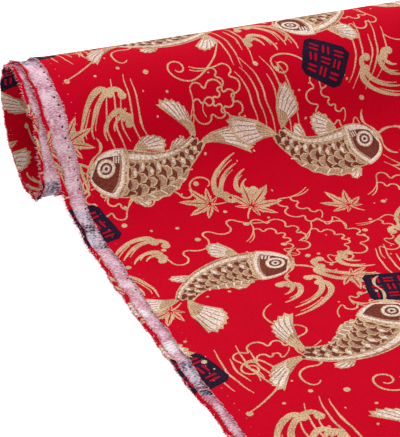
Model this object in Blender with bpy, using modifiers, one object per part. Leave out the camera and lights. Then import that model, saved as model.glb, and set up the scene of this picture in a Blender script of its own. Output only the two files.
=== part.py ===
"""Cotton fabric: one cut length of cloth, folded in half along its length with the
face outwards, rolled loosely into an open tube, with its loose end laid out in front.

Metres, +Z up. X runs along the roll, the loose end lies towards -Y, and the cloth
rests on z = 0. The origin is the middle of the footprint, at the surface.
"""
import math
from collections import namedtuple

import bmesh
import bpy
import numpy as np

# The cut length
cloth_width = 1.100             # from selvedge to selvedge, before it is folded
cloth_thickness = 0.0010
layer_pitch = 0.0016            # from the middle of one layer to the middle of the next
turn_pitch = 2 * layer_pitch    # a turn of the roll is two layers of the folded cloth

# The roll
roll_radius = 0.0400            # outer face, where the loose end leaves the roll
turns = 2
steps_per_turn = 24
leave_angle = math.radians(82.5)   # from the top of the roll, down its near side
flat_spot_depth = 0.0008        # how far the lowest part of the roll is pressed flat
flat_spot_angle = math.radians(25)  # from straight down, where the pressing ends

# The loose end
landing_reach = 0.0790          # from the leaving point to where it lies flat
drop_handle = 0.0280            # how long it keeps the roll's slope
floor_handle = 0.0420           # how long it keeps the slope of the surface
sweep_steps = 11
flat_length = 0.2220            # the part that lies flat, up to the cut edge
flat_steps = 9

# The selvedge of the lower layer, which is curled over on itself
curl_strip = 0.0015             # flat strip past the bend, lying face up
curl_bend_steps = 4

# The folded edge and the columns across each layer
fold_bend_steps = 4
columns_per_layer = 7

# Low waves in the loose end, and the soft up and down of the roll's top. Each wave
# has its turn in radians for each metre of X and of Y, and where it starts.
Wave = namedtuple("Wave", ["per_x", "per_y", "start"])
sheet_waves = [Wave(11.0, 17.0, 0.0), Wave(23.0, -9.0, 1.3)]
wave_threshold = 0.8            # the cloth lies flat where the waves add up to less
sheet_unevenness = 0.0011
roll_wave = Wave(9.0, 0.0, 0.6)
roll_unevenness = 0.0009

# Where the two selvedges lie, by the distance along the cloth from the cut edge in front:
# how far the lower one lies in from the left end of the whole, since the inner turn has
# slid out to the left, and how far the upper one stops short of it.
Lay = namedtuple("Lay", ["distance", "slid", "inset"])
selvedge_lay = [
    Lay(0.000, 0.0102, 0.0056),
    Lay(0.100, 0.0102, 0.0057),
    Lay(0.130, 0.0091, 0.0072),
    Lay(0.190, 0.0099, 0.0086),
    Lay(0.216, 0.0102, 0.0100),
    Lay(0.232, 0.0112, 0.0096),
    Lay(0.271, 0.0099, 0.0091),
    Lay(0.301, 0.0095, 0.0108),
    Lay(0.312, 0.0082, 0.0124),
    Lay(0.335, 0.0053, 0.0131),
    Lay(0.350, 0.0057, 0.0114),
    Lay(0.370, 0.0048, 0.0110),
    Lay(0.440, 0.0038, 0.0115),
    Lay(0.500, 0.0040, 0.0115),
    Lay(0.555, 0.0012, 0.0115),
    Lay(0.592, 0.0000, 0.0115),
    Lay(0.620, 0.0008, 0.0115),
    Lay(0.680, 0.0035, 0.0115),
    Lay(0.720, 0.0050, 0.0115),
    Lay(0.763, 0.0050, 0.0115),
]

# Values that follow from the ones above
middle_radius = roll_radius - (layer_pitch + cloth_thickness) / 2
rest_height = (layer_pitch + cloth_thickness) / 2
shrink_per_radian = turn_pitch / (2 * math.pi)
bend_radius = layer_pitch / 2   # of the folded edge, and of the curled selvedge
bend_arc = math.pi * bend_radius


def radius_at(turned):
    """Radius of the middle of the two layers, at an angle turned into the roll."""
    return middle_radius - shrink_per_radian * turned


bottom_turned = math.pi + leave_angle
axis_height = radius_at(bottom_turned) + rest_height - flat_spot_depth


def roll_point(turned):
    """Point and outward normal of the roll's section, in Y and Z about its axis."""
    angle = leave_angle - turned
    outward = np.array([-math.sin(angle), math.cos(angle)])
    point = radius_at(turned) * outward + np.array([0.0, axis_height])
    if -outward[1] > math.cos(flat_spot_angle):
        lowest = axis_height - radius_at(turned) + flat_spot_depth
        point[1] = max(point[1], lowest)
    return point, outward


def sweep_point(share):
    """Point and normal of the sweep from where the cloth lies flat up to the roll."""
    roll_end, outward = roll_point(0.0)
    down = np.array([-math.cos(leave_angle), -math.sin(leave_angle)])
    landing = np.array([roll_end[0] - landing_reach, rest_height])
    handles = [
        landing,
        landing + np.array([floor_handle, 0.0]),
        roll_end + drop_handle * down,
        roll_end,
    ]
    rest = 1.0 - share
    weights = [rest ** 3, 3 * rest ** 2 * share, 3 * rest * share ** 2, share ** 3]
    slopes = [rest ** 2, 2 * rest * share, share ** 2]
    point = sum(weight * handle for weight, handle in zip(weights, handles))
    along = sum(slope * (handles[i + 1] - handles[i]) for i, slope in enumerate(slopes))
    along /= np.linalg.norm(along)
    return point, np.array([-along[1], along[0]])


def section_stations():
    """Stations from the cut edge in front to the end inside the tube.

    Each is a point and a normal, in Y and Z.
    """
    landing, upward = sweep_point(0.0)
    stations = []
    for i in range(flat_steps):
        away = flat_length * (1.0 - i / flat_steps)
        stations.append((landing - np.array([away, 0.0]), upward))
    for i in range(sweep_steps):
        stations.append(sweep_point(i / sweep_steps))
    for i in range(turns * steps_per_turn + 1):
        stations.append(roll_point(2 * math.pi * i / steps_per_turn))
    return stations


def smooth_step(value):
    value = min(max(value, 0.0), 1.0)
    return value * value * (3.0 - 2.0 * value)


def crossing(lower_length, inset):
    """One line across the cloth, from the upper selvedge round to the lower one.

    Each entry is the distance from the lower layer's selvedge and the height over
    the middle of the two layers.
    """
    line = []
    upper_height = layer_pitch / 2
    for i in range(columns_per_layer + 1):
        share = i / columns_per_layer
        line.append((inset + (lower_length - inset) * share, upper_height))
    for i in range(1, fold_bend_steps):
        bend = math.pi * i / fold_bend_steps
        line.append((lower_length + bend_radius * math.sin(bend), bend_radius * math.cos(bend)))
    for i in range(columns_per_layer + 1):
        share = 1.0 - i / columns_per_layer
        line.append((bend_radius + (lower_length - bend_radius) * share, -upper_height))
    for i in range(1, curl_bend_steps + 1):
        bend = math.pi * i / curl_bend_steps
        line.append((bend_radius * (1.0 - math.sin(bend)), -bend_radius * math.cos(bend)))
    line.append((bend_radius + curl_strip, upper_height))
    return line


def wave_height(wave, x, y):
    return math.sin(wave.per_x * x + wave.per_y * y + wave.start)


def unevenness(x, y, z):
    """Small rise over the plain form: low waves in front, and along the roll's top half."""
    on_floor = smooth_step((-y - landing_reach) / landing_reach)
    height = sum(wave_height(wave, x, y) for wave in sheet_waves) - wave_threshold
    rise = sheet_unevenness * on_floor * max(0.0, height) ** 2
    up_the_roll = smooth_step(z / axis_height - 0.5)
    return rise + roll_unevenness * up_the_roll * wave_height(roll_wave, x, y)


def place_cloth(name, material):
    """The whole length as one sheet: a grid laid on the section, given its thickness."""
    stations = section_stations()
    distances = [lay.distance for lay in selvedge_lay]
    insets = [lay.inset for lay in selvedge_lay]
    slides = [lay.slid for lay in selvedge_lay]
    straight = cloth_width - 2 * bend_arc - curl_strip
    lower_length = (straight + insets[-1] + bend_radius) / 2
    centre_x = (max(slides) + lower_length + bend_radius) / 2

    travelled = [0.0]
    for before, after in zip(stations, stations[1:]):
        travelled.append(travelled[-1] + float(np.linalg.norm(after[0] - before[0])))

    front = stations[0][0][0]
    back = max(station[0][0] for station in stations) + (layer_pitch + cloth_thickness) / 2
    centre_y = (front + back) / 2

    rows = []
    for (point, normal), distance in zip(stations, travelled):
        inset = float(np.interp(distance, distances, insets))
        slid = float(np.interp(distance, distances, slides))
        row = []
        for across, height in crossing(lower_length, inset):
            x = slid + across - centre_x
            y, z = point + height * normal
            z = max(z + unevenness(x, y, z), cloth_thickness / 2)
            row.append((x, y - centre_y, z))
        rows.append(row)

    columns = len(rows[0])
    mesh = bpy.data.meshes.new(name)
    sheet = bmesh.new()
    bmesh.ops.create_grid(sheet, x_segments=len(rows) - 1, y_segments=columns - 1, size=0.5)
    sheet.verts.ensure_lookup_table()
    for vertex in sheet.verts:
        row = round((vertex.co.x + 0.5) * (len(rows) - 1))
        column = round((vertex.co.y + 0.5) * (columns - 1))
        vertex.co = rows[row][column]
    sheet.to_mesh(mesh)
    sheet.free()
    mesh.shade_smooth()

    cloth = bpy.data.objects.new(name, mesh)
    cloth.data.materials.append(material)
    solid = cloth.modifiers.new("thickness", "SOLIDIFY")
    solid.thickness = cloth_thickness
    solid.offset = 0.0
    solid.use_even_offset = True
    return cloth


def printed_cotton():
    """Red printed cotton, matt."""
    material = bpy.data.materials.new("printed_cotton")
    material.use_nodes = True
    shader = material.node_tree.nodes["Principled BSDF"]
    shader.inputs["Base Color"].default_value = (0.61, 0.003, 0.018, 1.0)
    shader.inputs["Roughness"].default_value = 0.85
    shader.inputs["Metallic"].default_value = 0.0
    return material


for item in list(bpy.data.objects):
    bpy.data.objects.remove(item, do_unlink=True)

fabric = bpy.data.collections.new("cotton_fabric")
bpy.context.scene.collection.children.link(fabric)
fabric.objects.link(place_cloth("cloth", printed_cotton()))
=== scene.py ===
import math
import random
from collections import namedtuple

import bpy
import numpy as np
from mathutils import Matrix, Vector
from mathutils.geometry import delaunay_2d_cdt


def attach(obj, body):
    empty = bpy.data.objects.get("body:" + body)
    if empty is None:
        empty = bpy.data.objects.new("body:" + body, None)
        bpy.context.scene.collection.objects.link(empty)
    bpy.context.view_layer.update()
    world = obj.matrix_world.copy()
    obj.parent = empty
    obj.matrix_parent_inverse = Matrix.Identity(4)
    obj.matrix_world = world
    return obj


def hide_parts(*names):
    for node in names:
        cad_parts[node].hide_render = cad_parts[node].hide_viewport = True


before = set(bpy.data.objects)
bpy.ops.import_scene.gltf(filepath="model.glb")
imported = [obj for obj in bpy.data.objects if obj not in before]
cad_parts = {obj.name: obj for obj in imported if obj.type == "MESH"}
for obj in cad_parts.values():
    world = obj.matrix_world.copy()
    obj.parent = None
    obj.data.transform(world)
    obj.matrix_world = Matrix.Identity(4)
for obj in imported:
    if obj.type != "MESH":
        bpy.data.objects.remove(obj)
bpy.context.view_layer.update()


# Streams of the print
# The cotton is printed on its face with a repeat of ink and gold foil. Each motif is an
# outline on one flat repeat, in millimetres, and covers what was drawn before it.
# The streams come first: thin lines of foil side by side, as water that runs.
repeat_width = 275.0            # across the cloth
repeat_length = 254.25          # along it
foil_line = 0.95                # width of a thin line
foil_tip = 0.5                  # width of its ends
stream_gap = 5.0
stream_tip = 0.4
stream_step = 3.6
prints = []                     # the ink and the corners of every outline, in their order


def toward(degrees):
    return np.array([math.cos(math.radians(degrees)), math.sin(math.radians(degrees))])


def patch(ink, *lines):
    """An area of ink inside lines that follow each other."""
    prints.append((ink, np.vstack(lines)))


def ribbon(ink, line, widths):
    """A band of ink along a line. The widths are spread evenly over its length."""
    line = np.asarray(line, float)
    ahead = np.gradient(line, axis=0)
    ahead /= np.linalg.norm(ahead, axis=1)[:, None]
    count = max(np.size(widths), 2)
    along = np.linspace(0.0, 1.0, len(line))
    width = np.interp(along, np.linspace(0.0, 1.0, count), np.resize(widths, count))
    side = np.column_stack([-ahead[:, 1], ahead[:, 0]]) * width[:, None] / 2
    patch(ink, line + side, (line - side)[::-1])


def arcs(place, heading, bends, scale=1.0, hand=1, step=2.2):
    """Points along arcs that join smoothly. Each bend has its radius and its degrees, and
    the hand, 1 or -1, mirrors them all."""
    widest_turn = 30            # degrees from one point to the next
    point, angle = np.array(place, float), math.radians(heading)
    line = [point]
    for radius, degrees in bends:
        turn = math.radians(degrees) * hand
        length = abs(turn) * radius * scale
        count = max(2, math.ceil(length / step), math.ceil(abs(degrees) / widest_turn))
        for _ in range(count):
            angle += turn / count / 2
            point = point + length / count * np.array([math.cos(angle), math.sin(angle)])
            angle += turn / count / 2
            line.append(point)
    return np.array(line)


def stream(place, heading, lines, length, bend):
    """Each line has its own length, and the further out it lies the more it bends."""
    for i in range(lines):
        own_length = length * (0.74 + 0.26 * math.sin(2.4 * i))
        start = place + stream_gap * i * toward(heading + 90)
        start = start + (length - own_length) * 0.5 * toward(heading)
        own_bend = bend * (0.85 + 0.07 * i)
        radius = own_length / math.radians(abs(own_bend))
        line = arcs(start, heading, [(radius, own_bend)], step=stream_step)
        ribbon("gold", line, [stream_tip, foil_line, foil_line, stream_tip])


for place, heading, lines, length, bend in (
        ((130, 44), 84, 6, 54, 30),
        ((182, 112), 262, 5, 50, -30),
        ((126, 204), 250, 4, 48, 26),
        ((206, 240), 95, 5, 44, 30),
        ((240, 116), 256, 5, 44, 30),
        ((44, 50), 104, 5, 52, -30),
        ((164, 170), 76, 5, 44, 30),
        ((8, 150), 262, 5, 40, 26),
        ((96, 130), 288, 4, 44, -26),
        ((262, 166), 96, 4, 38, 30)):
    stream(place, heading, lines, length, bend)


# Curling water of the print
# Single thin lines of foil that curl as water does. Each form is a row of bends, given by
# the radius in millimetres and the degrees.
curl_forms = {
    "scroll": [(60, 24), (17, 75), (6.8, 150), (4.0, 200), (2.4, 120)],
    "clouds": [(26, 34), (4.4, -200), (3.0, 165), (7.4, -150), (3.2, 175), (5.7, -165),
               (3.0, 150), (20, -50)],
    "breaker": [(40, 50), (9, 110), (4.4, 190), (2.6, 150)],
    "shell": [(12, 150), (5.0, -160), (10, 140), (4.4, -170), (8, 150), (3.4, 120)],
}
curl_widths = [foil_tip] + [foil_line] * 6 + [0.6]

for form, place, heading, scale, hand in (
        ("scroll", (8, 100), 20, 0.9, 1),
        ("breaker", (100, 112), 250, 1.0, -1),
        ("scroll", (262, 92), 200, 0.9, 1),
        ("shell", (148, 168), 320, 0.9, 1),
        ("scroll", (206, 6), 20, 0.9, -1),
        ("shell", (52, 172), 200, 0.9, 1),
        ("breaker", (196, 190), 130, 1.0, 1),
        ("shell", (200, 96), 300, 0.9, 1),
        ("clouds", (16, 240), 320, 1.0, -1),
        ("shell", (10, 30), 60, 0.8, -1),
        ("scroll", (150, 70), 100, 0.8, 1)):
    ribbon("gold", arcs(place, heading, curl_forms[form], scale, hand), curl_widths)


# Foam of the print
# A scalloped line of foil with a shorter one inside it. Each starts and ends in a long,
# shallow tail.
inner_foam = 0.62               # size of the inner line, as a share of the outer one
inner_shift, inner_shift_turn = 1.1, 68
lead_radius, lead_turn = 4.4, 50        # the radii are for a size of one
bump_radii, bump_turn = (0.72, 0.95, 0.6), -178
notch_radius, notch_turn = 0.22, 148    # between two bumps
tail_radius, tail_turn = 4.0, 34
foam_step = 1.9


def foam(place, heading, bumps, size, hand):
    for part, count in ((1.0, bumps), (inner_foam, bumps - 1)):
        shift = size * (1.0 - part) * inner_shift
        start = place + shift * toward(heading - inner_shift_turn * hand)
        bends = [(lead_radius * size * part, lead_turn)]
        for i in range(count):
            bends.append((bump_radii[i % len(bump_radii)] * size * part, bump_turn))
            bends.append((notch_radius * size, notch_turn))
        bends.append((tail_radius * size * part, tail_turn))
        line = arcs(start, heading, bends, 1.0, hand, foam_step)
        ribbon("gold", line, [foil_tip, foil_line, foil_line, foil_line, foil_tip])


for place, heading, bumps, size, hand in (
        ((66, 64), 50, 5, 5.0, 1),
        ((148, 158), 20, 5, 4.8, 1),
        ((22, 118), 76, 4, 4.8, 1),
        ((66, 232), 30, 6, 4.8, 1),
        ((150, 250), 20, 5, 5.0, 1),
        ((204, 12), 250, 4, 4.8, -1),
        ((240, 28), 300, 4, 4.8, 1),
        ((166, 78), 200, 5, 4.8, -1),
        ((134, 142), 12, 4, 4.8, -1),
        ((120, 12), 220, 4, 4.8, -1),
        ((250, 246), 60, 4, 4.8, -1),
        ((76, 96), 330, 5, 4.8, 1),
        ((92, 222), 20, 7, 5.2, 1),
        ((128, 226), 340, 5, 4.8, 1),
        ((200, 128), 250, 5, 4.6, 1),
        ((30, 30), 200, 4, 4.6, 1),
        ((96, 180), 290, 4, 4.4, 1)):
    foam(place, heading, bumps, size, hand)


# Wave crests of the print
# The top of a breaking wave in foil: nested fingers that curl over and end in drops, each
# with a thin line beside it, and a spray of dots in front.
Finger = namedtuple("Finger", ["back", "bend", "inner_bend"])
crest_fingers = [Finger(0.0, 70, 50), Finger(0.25, 44, 34), Finger(0.1, 52, 40),
                 Finger(0.3, 38, 30)]
innermost_finger, finger_pitch = 0.30, 0.37     # radii, as shares of the crest's size
finger_widths = [0.6, 1.4, 2.2, 2.8, 3.2, 2.9]
finger_curl = 34
finger_tip_bend = (2.9, 120)
inner_line_gap = 2.4
inner_line_widths = [0.4, 0.8, 0.4]
drop_radius = 2.4
spray_radii = (0.8, 1.6, 1.1)
spray_count = 5
spray_reach, spray_scatter = 2.05, 0.22         # as shares of the crest's size
spray_first, spray_turn = 62, 24                # degrees


def dot(ink, centre, radius, corners=8, squash=1.0, heading=0.0):
    turn = np.linspace(0.0, 2 * math.pi, corners, endpoint=False)
    ring = np.column_stack([np.cos(turn), squash * np.sin(turn)]) * radius
    ahead = toward(heading)
    patch(ink, ring @ np.array([ahead, (-ahead[1], ahead[0])]) + centre)


def crest(place, heading, size, hand):
    ahead, out = toward(heading), toward(heading - 90 * hand)
    for i, finger in enumerate(crest_fingers):
        radius = size * (innermost_finger + finger_pitch * i)
        start = place + out * radius
        start = start - ahead * size * finger.back
        bends = [(radius * 1.5, finger.bend), (radius * 0.8, finger_curl), finger_tip_bend]
        line = arcs(start, heading, bends, 1.0, hand, step=1.8)
        ribbon("gold", line, finger_widths)
        dot("gold", line[-1], drop_radius)
        inner_bends = [(radius * 1.3, finger.inner_bend)]
        inner = arcs(start + ahead * 3, heading + 5 * hand, inner_bends, 1.0, hand, step=2.4)
        ribbon("gold", inner + ahead * 1.0 - out * inner_line_gap, inner_line_widths)
    for i in range(spray_count):
        far = size * (spray_reach + spray_scatter * math.sin(2.6 * i + heading))
        spot = place + far * toward(heading + (spray_first - i * spray_turn) * hand)
        dot("gold", spot, spray_radii[i % len(spray_radii)])


for place, heading, size, hand in (
        ((120, 102), 88, 17, 1),
        ((30, 68), 92, 17, -1),
        ((258, 206), 88, 17, 1),
        ((62, 182), 4, 17, 1),
        ((170, 210), 84, 17, -1),
        ((200, 82), 184, 17, -1),
        ((254, 42), 86, 17, 1),
        ((228, 0), 0, 16, -1),
        ((92, 22), 200, 15, 1),
        ((16, 232), 60, 15, -1),
        ((112, 196), 176, 18, -1),
        ((142, 196), 84, 14, 1)):
    crest(place, heading, size, hand)


# Maple leaves of the print
# Leaves of foil with seven pointed lobes. The red ground is left open for a vein in each
# lobe, and a short stalk hangs behind.
Lobe = namedtuple("Lobe", ["angle", "reach"])
maple_lobes = [Lobe(0, 1.0), Lobe(40, 0.9), Lobe(-40, 0.9), Lobe(80, 0.7), Lobe(-80, 0.7),
               Lobe(122, 0.42), Lobe(-122, 0.42)]
# One edge of a lobe, from its root to its point, as shares of its length along and across
lobe_edge = [(0.28, 0.10), (0.50, 0.17), (0.52, 0.12), (0.74, 0.10)]
lobe_root = 0.09


def maple(place, heading, size):
    for lobe in maple_lobes:
        ahead = toward(heading + lobe.angle) * size * lobe.reach
        side = np.array([-ahead[1], ahead[0]])
        near = [along * ahead + across * side for along, across in lobe_edge]
        far = [along * ahead - across * side for along, across in lobe_edge[::-1]]
        patch("gold", place + np.array([lobe_root * ahead, *near, ahead, *far]))
        ribbon("red", place + np.array([0.16 * ahead, 0.5 * ahead, 0.84 * ahead]), [0.5, 0.9, 0.3])
    ribbon("gold", arcs(place, heading + 180, [(size, 30)]), [1.2, 0.6])


for place, heading, size in (
        ((212, 182), 60, 21),
        ((226, 196), 150, 15),
        ((64, 14), 160, 17),
        ((84, 6), 40, 21),
        ((272, 66), 20, 17),
        ((134, 244), 110, 17),
        ((8, 186), 200, 16),
        ((100, 180), 300, 16)):
    maple(place, heading, size)


# Dark blocks of the print
# Squares of dark blue ink with cut corners and a rough edge. A basket weave of short
# double bars is left open in each, so that the red ground shows.
panel_corners = [(0.12, 0), (0.5, 0), (0.88, 0), (1, 0.12), (1, 0.5), (1, 0.88), (0.88, 1),
                 (0.5, 1), (0.12, 1), (0, 0.88), (0, 0.5), (0, 0.12)]
weave_cells = 3                 # in each direction
cell_pitch = 0.27               # all of these as shares of the block's side
weave_margin = 0.105
bar_places = (0.045, 0.15)
bar_inset = 0.025
bar_width = 0.042
bar_length = 0.205
block_roughness = 0.016
bar_roughness = 0.006


def panel(ink, place, ahead, left, low, wide, high, chance, roughness):
    """A part of the block by its lowest corner, its width and its height."""
    side = np.array([-ahead[1], ahead[0]])
    corners = []
    for part_x, part_y in panel_corners:
        over = left + wide * part_x - 0.5 + chance.uniform(-roughness, roughness)
        up = low + high * part_y - 0.5 + chance.uniform(-roughness, roughness)
        corners.append(place + over * ahead + up * side)
    patch(ink, *corners)


def block(place, heading, size):
    ahead = toward(heading) * size
    chance = random.Random(place[0])
    panel("dark blue", place, ahead, 0.0, 0.0, 1.0, 1.0, chance, block_roughness)
    for column in range(weave_cells):
        for row in range(weave_cells):
            left, low = weave_margin + column * cell_pitch, weave_margin + row * cell_pitch
            for bar in bar_places:
                if (column + row) % 2:
                    box = (left + bar, low + bar_inset, bar_width, bar_length)
                else:
                    box = (left + bar_inset, low + bar, bar_length, bar_width)
                panel("red", place, ahead, *box, chance, bar_roughness)


for place, heading, size in (
        ((271, 134), 16, 27),
        ((156, 86), -30, 26),
        ((270, 14), 12, 27),
        ((112, 162), 75, 25)):
    block(place, heading, size)


# Koi of the print
# Carp in four inks with gold outlines. The body bends more and more towards the tail, and
# carries rows of scales, a dark mask with a ringed eye, whiskers and fins in fans.
koi_length = 68.0
koi_drawn_length = 60.0         # the length that all the sizes below are for
koi_middle = 28                 # the part of the spine that lies at the given place
gill_share = 0.235              # where the head ends, as a share of the body's length
mask_share = 0.205
scale_rows = 11
scale_width = 6.2
scale_outline = 0.8
Ring = namedtuple("Ring", ["ink", "radius", "corners"])
eye_rings = [Ring("gold", 4.7, 13), Ring("off-white", 4.2, 13), Ring("chestnut", 3.1, 12),
             Ring("grey", 2.2, 9), Ring("off-white", 1.7, 8), Ring("chestnut", 1.0, 6)]
Whisker = namedtuple("Whisker", ["across", "outward", "hand", "reach"])
whiskers = [Whisker(2.8, 62, 1, 9), Whisker(-2.8, -62, -1, 9), Whisker(-1.0, -20, 1, 12)]
whisker_widths = np.array([0.9, 1.5, 0.5, 1.6, 0.4])


class Fish:
    """A bent body. Places on it are given by the share of its length from the nose, and by
    the distance across it in millimetres."""

    def __init__(self, place, heading, sway, side):
        self.size = koi_length / koi_drawn_length
        self.side = side
        self.shares = np.linspace(-0.1, 1.1, 49)
        bent = math.radians(sway) * np.clip(self.shares, 0.0, 1.0) ** 1.4
        self.angles = math.radians(heading) + math.pi + bent
        step = koi_length * (self.shares[1] - self.shares[0])
        ways = np.column_stack([np.cos(self.angles), np.sin(self.angles)])
        spine = np.cumsum(ways * step, axis=0)
        self.spine = spine + np.asarray(place, float) - spine[koi_middle]

    def at(self, share, across):
        share, across = np.broadcast_arrays(np.asarray(share, float), np.asarray(across, float))
        angle = np.interp(share, self.shares, self.angles)
        x = np.interp(share, self.shares, self.spine[:, 0]) - np.sin(angle) * across * self.side
        y = np.interp(share, self.shares, self.spine[:, 1]) + np.cos(angle) * across * self.side
        return np.stack([x, y], -1)

    def girth(self, share):
        """Half the width of the body."""
        share = np.clip(share, 0.0, 1.0)
        return self.size * (11.6 * np.sin(math.pi * share ** 0.53) + 3.6 * share ** 3)

    def way(self, share, degrees):
        """A direction from the spine, turned to the fish's own side."""
        return math.degrees(np.interp(share, self.shares, self.angles)) + degrees * self.side

    def band(self, ink, shares, left, right):
        """The area between two lines along the body."""
        patch(ink, self.at(shares, left), self.at(shares[::-1], right[::-1]))


def fin(root, heading, spread, length, rays, bend, point):
    """A fan of rays that bend together. It reaches furthest at its point, a share of the
    way over its spread."""
    corners = 2 * rays + 1
    share = np.linspace(0.0, 1.0, corners)
    fall = np.abs(share - point) / max(point, 1.0 - point)
    scallops = 0.97 + 0.03 * np.cos(share * rays * 2 * math.pi)
    reach = length * (1.0 - 0.42 * fall ** 1.4) * scallops
    start = np.radians(heading + spread * (share - 0.5))

    def along(part):
        turned = start + math.radians(bend) * part / 2
        return root + np.column_stack([np.cos(turned), np.sin(turned)]) * (reach * part)[:, None]

    outer, edge, middle, inner = along(1.0), along(0.94), along(0.52), along(0.26)
    patch("gold", root, inner[0], middle[0], outer, middle[-1], inner[-1])
    patch("tan", inner[1], edge[1:-1], inner[-2])
    patch("off-white", middle[1], edge[1:-1], middle[-2:0:-2])
    for i in range(2, corners - 1, 2):
        near_root = root + (inner[i] - root) * 0.5
        ribbon("gold", [near_root, inner[i], middle[i]], [0.4, 0.6, 0.6])
        ribbon("tan", [middle[i], along(0.8)[i], outer[i]], [0.6, 0.7, 0.3])


def koi_fins(fish):
    at, way, girth, size, side = fish.at, fish.way, fish.girth, fish.size, fish.side
    fin(at(0.96, -1.2), way(1.0, -24), spread=40, length=30 * size, rays=6, bend=-46 * side, point=0.15)
    fin(at(0.96, 1.2), way(1.0, 34), spread=38, length=27 * size, rays=6, bend=48 * side, point=0.85)
    fin(at(0.33, 0.8 * girth(0.33)), way(0.33, 58), spread=52, length=19 * size, rays=6,
        bend=-44 * side, point=0.3)
    fin(at(0.30, -0.7 * girth(0.30)), way(0.30, -60), spread=44, length=14 * size, rays=4,
        bend=40 * side, point=0.6)
    fin(at(0.70, 0.7 * girth(0.70)), way(0.70, 40), spread=46, length=12 * size, rays=4,
        bend=-30 * side, point=0.3)


def koi_back_fin(fish):
    """The long, low fin along the back, with a light ray in each of its points."""
    at, girth = fish.at, fish.girth
    back = np.linspace(0.32, 0.80, 13)
    rise = 5.6 * fish.size * np.sin(np.linspace(0.3, math.pi, len(back))) ** 0.7
    rise *= 0.9 + 0.1 * np.cos(np.arange(len(back)) * math.pi)
    fish.band("gold", back, -girth(back) - rise, -0.8 * girth(back))
    inside, inner_rise = back[1:-1], rise[1:-1]
    patch("tan", at(inside + 0.004, -girth(inside) - 0.78 * inner_rise),
          at(inside[::-1], -0.9 * girth(inside[::-1])))
    for share, height in zip(inside[::2], inner_rise[::2]):
        ray = at([share, share + 0.02, share + 0.035],
                 -girth(share) - height * np.array([0.0, 0.4, 0.75]))
        ribbon("off-white", ray, 0.7)


def koi_scales(fish):
    """Staggered rows of scales, each a scallop of foil with a lighter rim inside it. The
    scales on the back and by the tail are lit."""
    at, girth, size = fish.at, fish.girth, fish.size
    rows = np.linspace(0.25, 0.95, scale_rows)
    deep = 0.94 * (rows[1] - rows[0])
    turn = np.linspace(0.0, math.pi, 5)
    for number, row in enumerate(rows):
        lowest, highest = -0.97 * girth(row), 0.60 * girth(row)
        count = max(2, round((highest - lowest) / (scale_width * size)))
        edges = np.linspace(lowest, highest, count + 1)
        if number % 2:
            edges = np.concatenate([[lowest], (edges[1:] + edges[:-1]) / 2, [highest]])
        chain = []
        for left, right in zip(edges, edges[1:]):
            half = (right - left) / 2
            reach = deep * min(1.0, 0.45 + half / (5.0 * size))
            scallop = at(row + reach * np.sin(turn), left + half * (1 - np.cos(turn)))
            chain.append(scallop[:-1])
            if half > 1.6 * size:
                inside = at(row + 0.62 * reach * np.sin(turn[1:4]) - 0.34 * reach,
                            left + half * (1 - 0.9 * np.cos(turn[1:4])))
                patch("tan", scallop, inside[::-1])
                if (left + right) / 2 > -0.1 * girth(row) or number > 6:
                    patch("off-white", scallop[1:4], at(row + 0.45 * reach, left + half))
        chain.append(at([row], [highest]))
        ribbon("gold", np.vstack(chain), scale_outline)


def koi_body(fish):
    at, girth = fish.at, fish.girth
    outline = 0.7
    sides = np.linspace(0.0, 1.0, 22)
    edge = girth(sides)
    fish.band("gold", sides, edge + outline, -edge - outline)
    fish.band("chestnut", sides, edge, -edge)
    belly = np.linspace(0.22, 0.98, 14)
    fish.band("tan", belly, 0.97 * girth(belly), 0.48 * girth(belly))
    fish.band("off-white", belly, 0.88 * girth(belly), 0.66 * girth(belly))
    koi_scales(fish)
    for share in np.linspace(0.28, 0.92, 12):
        rib = at([share, share + 0.016, share + 0.03], girth(share) * np.array([0.98, 0.8, 0.60]))
        ribbon("gold", rib, 0.6)


def koi_head(fish):
    at, way, girth, size = fish.at, fish.way, fish.girth, fish.size
    front = np.linspace(0.0, gill_share, 9)
    gill = np.sin(np.linspace(0.0, math.pi, 9))
    across = np.linspace(1, -1, 9)
    cheek = np.vstack([at(front, girth(front) + 0.6),
                       at(gill_share + 0.04 * gill, girth(gill_share) * across),
                       at(front[::-1], -girth(front[::-1]) - 0.6)])
    middle = at(0.12, 0.0)
    patch("gold", middle + (cheek - middle) * 1.07)
    patch("off-white", cheek)
    inside = np.linspace(0.03, mask_share, 8)
    patch("chestnut", at(inside, 0.80 * girth(inside) - 0.4),
          at(mask_share + 0.03 * gill, 0.76 * girth(mask_share) * across),
          at(inside[::-1], -0.92 * girth(inside[::-1]) + 0.2))
    patch("tan", at(0.215 + 0.04 * np.concatenate([gill, gill[::-1] - 0.5]),
                    girth(0.22) * 0.86 * np.concatenate([across, across[::-1]])))
    ribbon("gold", at(0.262 + 0.045 * gill, girth(0.25) * 1.02 * across), 1.1)
    for share in (0.150, 0.172, 0.194):
        patch("off-white", at([share, share + 0.012, share + 0.02, share + 0.008],
                              girth(share) * np.array([0.74, 0.74, 0.46, 0.46])))
    ribbon("gold", at(-0.012 + 0.02 * gill[2:-2], 2.6 * size * across[2:-2]), 2.2 * size)
    dot("off-white", at(-0.014, 0.3 * size), 1.2 * size, corners=7)
    eye = at(0.118, 1.4 * size)
    for ring in eye_rings:
        dot(ring.ink, eye, ring.radius * size, ring.corners)
    for whisker in whiskers:
        bends = [(whisker.reach * size, 62), (6 * size, -95)]
        line = arcs(at(0.0, whisker.across * size), way(0.0, 180 + whisker.outward), bends,
                    hand=whisker.hand * fish.side)
        ribbon("gold", line, whisker_widths * size)


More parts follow.
